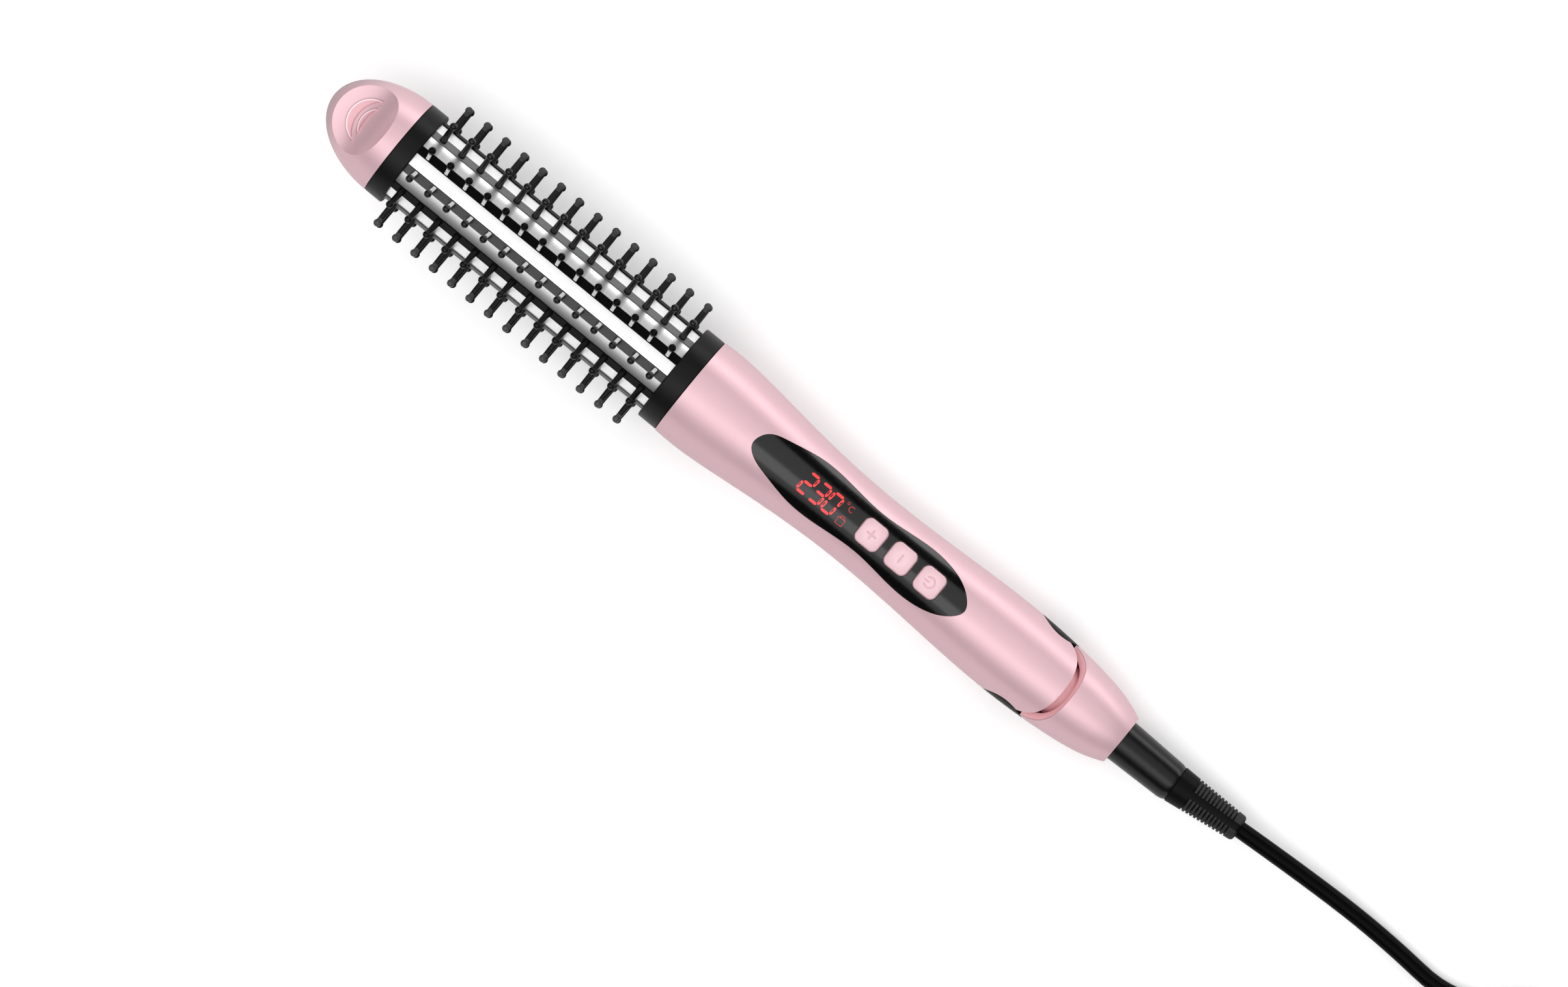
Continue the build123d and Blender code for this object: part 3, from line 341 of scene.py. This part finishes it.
def drawn_metal(name, colour, roughness, metallic=1.0):
    """Metal with fine marks along the tool."""
    mark_scale, mark_stretch, speckle_scale, depth = 2600, (0.04, 1, 1), 1500, 0.0000003
    finish = Finish(name, colour, roughness, metallic)
    marks = finish.noise(mark_scale, place=finish.along_tool(mark_stretch))
    speckle = finish.noise(speckle_scale)
    finish.shades(toned(colour, 0.93), toned(colour, 1.04), marks * 0.5 + speckle * 0.5)
    finish.uneven(roughness, 0.10, marks)
    finish.relief(marks * 0.6 + speckle * 0.4, depth)
    return finish


# Finishes of the record's slots, except the buttons', which have their own ones below

pink = (0.75, 0.49, 0.538)
coral = (1.0, 0.52, 0.56)
jet = (0.001, 0.001, 0.0012)
pin_black = (0.003, 0.003, 0.0035)
dull_black = (0.012, 0.012, 0.013)
plating = (0.94, 0.94, 0.945)
plating_roughness, plating_metallic = 0.34, 0.65
smooth_depth = 0.0000004
slot_finishes = {
    "pink_shell": pearl_paint("pink_pearl_shell", pink),
    "coral": pearl_paint("coral_collar", coral, 0.42, 0.0),
    "black_plastic": moulded("satin_black_plastic", (0.004, 0.004, 0.0045), 0.38, sheen=0.16),
    "comb_black": moulded("comb_nylon", pin_black, 0.26, sheen=0.25),
    "gloss_black": moulded("gloss_black", jet, 0.18, grain=900, depth=smooth_depth),
    "polished_metal": drawn_metal("polished_barrel", plating, plating_roughness, plating_metallic),
    "coated_plate": drawn_metal("coated_plate", (0.62, 0.47, 0.47), 0.32),
    "heater_ceramic": moulded("heater_ceramic", (0.75, 0.73, 0.68), 0.6),
    "tray_plastic": moulded("tray_plastic", (0.03, 0.03, 0.03), 0.5),
    "sensor": moulded("glazed_sensor", (0.45, 0.42, 0.32), 0.25),
    "circuit_board": moulded("green_board", (0.01, 0.11, 0.045), 0.35, grain=700),
    "display_red": moulded("display_block", (0.03, 0.005, 0.005), 0.3),
    "switch_grey": moulded("switch_grey", (0.05, 0.05, 0.055), 0.4),
    "steel": drawn_metal("plain_steel", (0.55, 0.55, 0.56), 0.30),
    "brass": drawn_metal("bare_brass", (0.70, 0.50, 0.20), 0.28),
    "pin_plating": drawn_metal("nickel_plating", (0.72, 0.70, 0.66), 0.18),
    "wire_sleeve": moulded("silicone_sleeve", (0.35, 0.02, 0.02), 0.45),
    "cord_rubber": moulded("cord_rubber", (0.0007, 0.0007, 0.0008), 0.36, grain=2200, sheen=0.05),
    "tie_black": moulded("cord_tie", dull_black, 0.6),
    "plug_black": moulded("plug_plastic", dull_black, 0.40),
}


# Finishes of single nodes, in metres of the tool's own frame

gap_front = 0.268                      # the coral surfaces lie behind this x
nose_from, nose_to = 0.004, 0.012      # the tip's nose fades out along x
nose_low, nose_high = 0.001, 0.010     # and upwards from the parting plane
# Colour of the painted shade at the tip's nose, where less light falls near the tool's end
nose_painted_shade = (0.40, 0.26, 0.295)
first_pin, pin_pitch = 0.0357, 0.0073  # the comb pins' stations along x


def tool_points(piece):
    """A CAD node's vertices counted in the tool's own frame."""
    back = laid.inverted()
    return [back @ vertex.co for vertex in piece.data.vertices]


def tail_shell():
    """The lower handle: below its skin it is coral, at the cut edges and inside the gap."""
    ramp_from, ramp_to, full_radius, steps = 0.280, 0.312, 0.020, 8
    slice_reach, skin_depth, gap_rear = 0.0014, 0.00045, 0.300
    finish = pearl_paint("pink_pearl_tail", pink)
    corners = tool_points(nodes["handle_lower"])
    stops = []
    for step in range(steps + 1):
        station = ramp_from + (ramp_to - ramp_from) * step / steps
        near = [math.hypot(corner.y, corner.z) for corner in corners
                if abs(corner.x - station) < slice_reach]
        stops.append((step / steps, max(near) / full_radius))
    x, y, z = finish.tool_axes()
    ramp = finish.add("ShaderNodeValToRGB", {}, {0: x.between(ramp_from, ramp_to)})
    while len(ramp.color_ramp.elements) < len(stops):
        ramp.color_ramp.elements.new(0.5)
    for element, (position, level) in zip(ramp.color_ramp.elements, stops):
        element.position, element.color = position, (level, level, level, 1)
    skin = Signal(finish, ramp.outputs[0]) * full_radius
    inside = (skin - length_of(y, z) > skin_depth) * (x > gap_front) * (x < gap_rear)
    finish.marked(coral, inside)
    finish.drive("Metallic", (1 - inside) * 0.4)
    return finish


def arm_shell():
    """The upper handle: coral inside the rear edge."""
    inner_radius = 0.0126
    finish = pearl_paint("pink_pearl_arm", pink)
    x, y, z = finish.tool_axes()
    finish.marked(coral, (length_of(y, z) < inner_radius) * (x > gap_front))
    return finish


def thumb_grip():
    """The tip: painted shade at the nose below the dent's front edge and a painted highlight above it; the dent
    has two crescents with painted highlight lines and painted shade outlines.
    """
    dent_x, dent_z, dent_edge, dent_floor, floor_from = 0.0061, 0.0239, 0.01665, 0.0163, 0.0065
    crescents = ((0.01489, 0.00769), (0.01798, 0.00658))
    crescents_end, outline_in, outline_out, crest_in = 0.0136, -0.0001, 0.00025, -0.0005
    finish = pearl_paint("pink_pearl_tip", pink)
    x, y, z = finish.tool_axes()
    from_dent = length_of(x - dent_x, z - dent_z)
    nose = 1 - x.between(nose_from, nose_to)
    below_edge = (from_dent > dent_edge) * (1 - z.between(nose_low, nose_high))
    # Painted shade: the nose below the dent's front edge is greyed
    finish.marked(nose_painted_shade, nose * below_edge)
    # Painted highlight: the front of the dent, by the nose, is paler where the light falls on it
    finish.marked((0.86, 0.57, 0.62), nose * (from_dent < dent_edge))
    finish.marked((0.80, 0.45, 0.495), (from_dent < dent_floor) * (x > floor_from))
    in_dent = (x < crescents_end) * (z > 0)
    for centre, radius in crescents:
        outward = length_of(x - centre, y) - radius
        outline = (outward > outline_in) * (outward < outline_out)
        painted_crest_highlight = (outward < outline_in) * (outward > crest_in)
        # Painted shade on each crescent's outer outline, and a painted highlight just inside it on the crest
        finish.marked((0.58, 0.37, 0.41), outline * in_dent)
        finish.marked((0.98, 0.74, 0.78), painted_crest_highlight * in_dent)
    return finish


def lower_tip():
    """The lower tip: painted shade at the nose, as on the upper one."""
    finish = pearl_paint("pink_pearl_nose", pink)
    x, _, z = finish.tool_axes()
    nose = 1 - x.between(nose_from, nose_to)
    # Painted shade at the nose, fading away from the parting plane upwards and downwards, to meet the upper tip's
    finish.marked(nose_painted_shade, nose * (1 - abs(z).between(nose_low, nose_high)))
    return finish


def ribbed_guard():
    """The cable guard: a painted highlight on its ribs and painted shade in the grooves between them."""
    dome_x, guard_bend = 0.3315, math.radians(4)
    cone_x, cone_radius, cone_taper = 0.00645, 0.00585, 0.0758
    groove_depth, web_half, first_rib = 0.0002, 0.0012, 0.0085
    finish = moulded("guard_rubber", (0.002, 0.002, 0.0021), 0.45, grain=2200, sheen=0.09)
    from_dome = finish.mapped(finish.along_tool(), Location=(-dome_x, 0, 0))
    x, y, z = finish.axes_of(finish.mapped(from_dome, Rotation=(0, 0, -guard_bend)))
    depth = cone_radius - (x - cone_x) * cone_taper - length_of(y, z)
    painted_lit_rib = (depth < groove_depth) * (abs(y) > web_half) * (x > first_rib)
    # Painted highlight on the ribs, then painted shade in the grooves
    finish.marked((0.03, 0.03, 0.031), painted_lit_rib)
    finish.marked((0.0003, 0.0003, 0.0003), depth > groove_depth)
    return finish


def button_face(name, x_mid):
    """A button with a painted highlight in its middle, and an engraved mark a shade darker."""
    painted_highlight_radius, rim_radius, mark_half, mark_depth = 0.0020, 0.0043, 0.0023, 0.00012
    finish = pearl_paint(name + "_paint", (0.74, 0.48, 0.525), 0.30, 0.15)
    top = max(corner.z for corner in tool_points(nodes[name]))
    x, y, z = finish.tool_axes()
    from_middle = length_of(x - x_mid, y)
    # Painted highlight: the face is paler in its middle and fades out by the rim radius
    finish.marked((0.85, 0.577, 0.627), 1 - from_middle.between(painted_highlight_radius, rim_radius))
    near = (abs(x - x_mid) < mark_half) * (abs(y) < mark_half)
    finish.marked((0.74, 0.47, 0.52), near * (z < top - mark_depth))
    return finish


def pin_wave(x):
    """1 at the comb pins' stations along the tool and -1 halfway between them."""
    return ((x - first_pin) * (2 * math.pi / pin_pitch)).cosine()


def barrel_shell():
    """The upper barrel: painted shade on one side of the crown, painted shade and reflections of the pins on the
    other, and a painted bright reflection on the outer strip.
    """
    crown_half, strip_end, painted_light_edge = 0.0047, 0.0095, 0.0105
    finish = drawn_metal("polished_barrel_upper", plating, plating_roughness, plating_metallic)
    x, y, _ = finish.tool_axes()
    # Painted shade: the strip on the -y side of the crown darkens towards the next rail
    painted_shade_strip = (y < -crown_half) * (y > -strip_end)
    finish.marked((0.10, 0.10, 0.102), painted_shade_strip * (1 - y.between(-strip_end, -crown_half)))
    # Painted shade and painted reflections of the pins: grey spots at each pin station on the +y strip
    painted_pin_shade_strip = (y > crown_half) * (y < strip_end)
    finish.marked((0.30, 0.30, 0.302), pin_wave(x).between(-0.1, 1.0) * painted_pin_shade_strip * 0.85)
    # Painted reflection: beyond this edge on the -y side the metal is whitened and made fully metallic, to look
    # brighter
    finish.marked((1.0, 1.0, 1.0), y < -painted_light_edge)
    finish.drive("Metallic", plating_metallic + (y < -painted_light_edge) * (1 - plating_metallic))
    return finish


# The upper combs: rail colour, pin colour and sheen. The rails' colours are painted light and shade on the one
# black nylon, row by row, and so are the lighter pins of rows 3 and 6.
comb_tones = {
    1: ((0.0005, 0.0005, 0.0005), pin_black, 0.06),
    2: ((0.11, 0.11, 0.112), pin_black, 0.35),
    3: ((0.0003, 0.0003, 0.0003), (0.020, 0.020, 0.0205), 0.03),
    4: ((0.03, 0.03, 0.031), pin_black, 0.35),
    5: ((0.003, 0.003, 0.003), pin_black, 0.2),
    6: ((0.05, 0.05, 0.052), (0.010, 0.010, 0.0105), 0.3),
}
crown_rows, outer_rows = (1, 4), (3, 6)


def comb_row(number):
    """One comb: the crown rows' pins have a painted highlight on one side of the stem, and the outer rows' pins a
    painted highlight on the balls.
    """
    rail_top, stem_from, stem_to, ball_from = 0.01532, 0.0154, 0.0208, 0.0217
    row_angle, highlight_edge, highlight_share = math.radians(13.7), -0.0003, 0.87
    rail_painted_tone, pin_colour, sheen = comb_tones[number]
    finish = moulded(f"comb_row_{number}", pin_colour, 0.26, sheen=sheen)
    x, y, z = finish.tool_axes()
    radius = length_of(y, z)
    # Painted light and shade: each row's rail gets its own tone of the same black
    finish.marked(rail_painted_tone, radius < rail_top)
    if number in crown_rows:
        past_axis = abs(y) * math.cos(row_angle) - z * math.sin(row_angle)
        on_stem = (radius > stem_from) * (radius < stem_to)
        # Painted highlight on the crown-facing side of each stem, at the pin stations
        painted_stem_highlight = (past_axis < highlight_edge) * on_stem * (pin_wave(x) > highlight_share)
        finish.marked((0.75, 0.75, 0.75), painted_stem_highlight)
    if number in outer_rows:
        # Painted highlight: the outer rows' balls are greyer than the rest of the pin
        finish.marked((0.06, 0.06, 0.061), radius > ball_from)
    return finish


hub_black = moulded("hub_black", jet, 0.35, grain=900, sheen=0.05)
own_finishes = {
    "tip_cap_upper": thumb_grip(),
    "tip_cap_lower": lower_tip(),
    "barrel_upper": barrel_shell(),
    "handle_upper": arm_shell(),
    "handle_lower": tail_shell(),
    "cable_guard": ribbed_guard(),
    "swivel_sleeve": moulded("sleeve_gloss", jet, 0.30, grain=900, depth=smooth_depth, sheen=0.33),
    "hub_cap_left": hub_black,
    "hub_cap_right": hub_black,
    **{f"comb_upper_{number}": comb_row(number) for number in comb_tones},
}
for name, x_mid in (("button_plus", 0.2138), ("button_minus", 0.2254), ("button_power", 0.2369)):
    own_finishes[name] = button_face(name, x_mid)


def coat(piece, finish):
    piece.data.materials.clear()
    piece.data.materials.append(finish.material)


for entry in frame["record"]["subparts"]:
    name, slot = entry["node"], entry["material_slot"]
    coat(nodes[name], own_finishes[name] if name in own_finishes else slot_finishes[slot])
coat(cord, slot_finishes["cord_rubber"])


# Display figures: lit segments on the panel's glossy face

plate_rise = 0.00003
sign_line, letter_line = 0.00018, 0.00022


def lit_red(name, strength):
    lit = Finish(name, (0.5, 0.02, 0.02), 0.35)
    lit.drive("Emission Color", (1.0, 0.04, 0.045, 1))
    lit.drive("Emission Strength", strength)
    return lit


bright_red = lit_red("lit_segments", 0.9)
dim_red = lit_red("lit_signs", 0.35)


def on_panel(corner, lift):
    """The point of the display panel straight below a plan point, raised by the lift."""
    above_tool = 0.05
    down = laid.to_3x3() @ Vector((0, 0, -1))
    start = laid @ Vector((corner.x, corner.y, above_tool))
    _, place, _, _ = nodes["display_panel"].ray_cast(start, down)
    return place - down * lift


def figure(name, bars, finish):
    """Bars given by their two ends on the display plan, as thin plates that follow the panel."""
    mesh = bmesh.new()
    for (x0, y0), (x1, y1), width in bars:
        start, end = Vector((x0, y0, 0)), Vector((x1, y1, 0))
        ahead = (end - start).normalized() * width / 2
        left, right = Vector((-ahead.y, ahead.x, 0)), Vector((ahead.y, -ahead.x, 0))
        outline = [start, start + ahead + right, end - ahead + right,
                   end, end - ahead + left, start + ahead + left]
        mesh.faces.new([mesh.verts.new(corner) for corner in outline])
    bmesh.ops.subdivide_edges(mesh, edges=mesh.edges, cuts=1, use_grid_fill=True)
    extruded = bmesh.ops.extrude_face_region(mesh, geom=mesh.faces[:])
    raised = {item for item in extruded["geom"] if isinstance(item, bmesh.types.BMVert)}
    for corner in mesh.verts:
        corner.co = on_panel(corner.co, plate_rise if corner in raised else -plate_rise)
    bmesh.ops.recalc_face_normals(mesh, faces=mesh.faces)
    piece = add_mesh(name, mesh)
    coat(piece, finish)
    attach(piece, "upper_arm")


digit_top, digit_foot, digit_slant = 0.0036, -0.0040, 0.0008
segment_width, segment_gap = 0.00085, 0.00022


def digit_bars(x0, x1, segments):
    """Seven-segment digit: reads along the tool, top towards +y."""
    half = segment_width / 2

    def at(x, y):
        return (x + digit_slant * (y - digit_foot) / (digit_top - digit_foot), y)

    left, right = x0 + half, x1 - half
    rows = {"a": digit_top - half, "g": (digit_top + digit_foot) / 2, "d": digit_foot + half}
    bars = []
    for key in segments:
        if key in rows:
            ends = at(left + segment_gap, rows[key]), at(right - segment_gap, rows[key])
        else:
            x = left if key in "fe" else right
            low, high = (rows["g"], rows["a"]) if key in "fb" else (rows["d"], rows["g"])
            ends = at(x, low + segment_gap), at(x, high - segment_gap)
        bars.append((*ends, segment_width))
    return bars


# Segments of each digit and the digit's two sides along the tool
digits = (("abged", 0.1863, 0.1906), ("abgcd", 0.1911, 0.1954), ("abcdef", 0.1959, 0.2002))
for number, (segments, x0, x1) in enumerate(digits, start=1):
    figure(f"display_digit_{number}", digit_bars(x0, x1, segments), bright_red)


def chain_bars(spots, width):
    return [(start, end, width) for start, end in zip(spots, spots[1:])]


def ring_bars(x, y, radius, width, first, last, count):
    """An arc of short bars from the first to the last angle in degrees."""
    angles = [math.radians(first + (last - first) * step / count) for step in range(count + 1)]
    spots = [(x + radius * math.cos(angle), y + radius * math.sin(angle)) for angle in angles]
    return chain_bars(spots, width)


degree_sign = ring_bars(x=0.2024, y=0.0031, radius=0.00042, width=sign_line,
                        first=0, last=360, count=10)
letter_c = ring_bars(x=0.2043, y=0.0021, radius=0.00095, width=letter_line,
                     first=50, last=310, count=9)
figure("display_unit", degree_sign + letter_c, dim_red)

lock_foot, lock_top, lock_near, lock_far = -0.0041, -0.0019, 0.2025, 0.2049
lock_box = chain_bars([(lock_near, lock_foot), (lock_far, lock_foot), (lock_far, lock_top),
                       (lock_near, lock_top), (lock_near, lock_foot)], sign_line)
lock_bow = ring_bars(x=0.2037, y=lock_top, radius=0.00085, width=sign_line,
                     first=0, last=180, count=7)
figure("display_padlock", lock_box + lock_bow, dim_red)


# Floor, world and lamps

floor_half = 4.0


def add_floor():
    """White paper: brightest to the camera, greyer in the light that it throws back."""
    mesh = bmesh.new()
    bmesh.ops.create_grid(mesh, x_segments=1, y_segments=1, size=floor_half)
    floor = add_mesh("floor", mesh)
    paper = Finish("white_paper", (0.9, 0.9, 0.9), 0.9)
    seen = paper.value("ShaderNodeLightPath", {}, {}, "Is Camera Ray")
    mirrored = paper.value("ShaderNodeLightPath", {}, {}, "Is Glossy Ray")
    paper.shades((0.45, 0.45, 0.45), (0.90, 0.90, 0.90), mirrored)
    paper.marked((0.98, 0.98, 0.98), seen)
    glow = paper.value("ShaderNodeMapRange", {}, {"Value": seen, "To Max": 0.16})
    paper.drive("Emission Color", glow)
    paper.drive("Emission Strength", 1.0)
    coat(floor, paper)


def add_world():
    """A dim white sky that is darker still where it is mirrored."""
    world = bpy.data.worlds.new("studio")
    world.use_nodes = True
    sky = Shading(world.node_tree)
    mirrored = sky.value("ShaderNodeLightPath", {}, {}, "Is Glossy Ray")
    dim = sky.value("ShaderNodeMapRange", {}, {"Value": mirrored, "To Min": 0.2, "To Max": 0.03})
    sky.set(sky.tree.nodes["Background"], {"Color": (1, 1, 1, 1), "Strength": dim})
    bpy.context.scene.world = world


def add_lamp(name, place, target, size, power):
    data = bpy.data.lights.new(name, "AREA")
    data.shape = "RECTANGLE"
    data.size, data.size_y = size
    data.energy = power
    lamp = add_object(name, data)
    lamp.location = place
    lamp.rotation_euler = (Vector(target) - Vector(place)).to_track_quat("-Z", "Y").to_euler()
    lamp.visible_camera = False


bpy.context.scene.view_settings.view_transform = "Standard"
add_floor()
add_world()
add_lamp("overhead", place=(0, -0.25, 1.3), target=(0, -0.25, 0), size=(2.8, 2.4), power=19.6)
add_lamp("overhead_core", place=(0, -0.5, 1.29), target=(0, -0.5, 0), size=(2.8, 0.7), power=9.0)
add_lamp("side_left", place=(0.05, 1.35, 0.40), target=(0.05, 0, 0.02), size=(2.2, 0.56), power=12.5)
add_lamp("side_right", place=(0.05, -1.35, 0.13), target=(0.05, 0, 0.02), size=(2.2, 0.16), power=1.6)
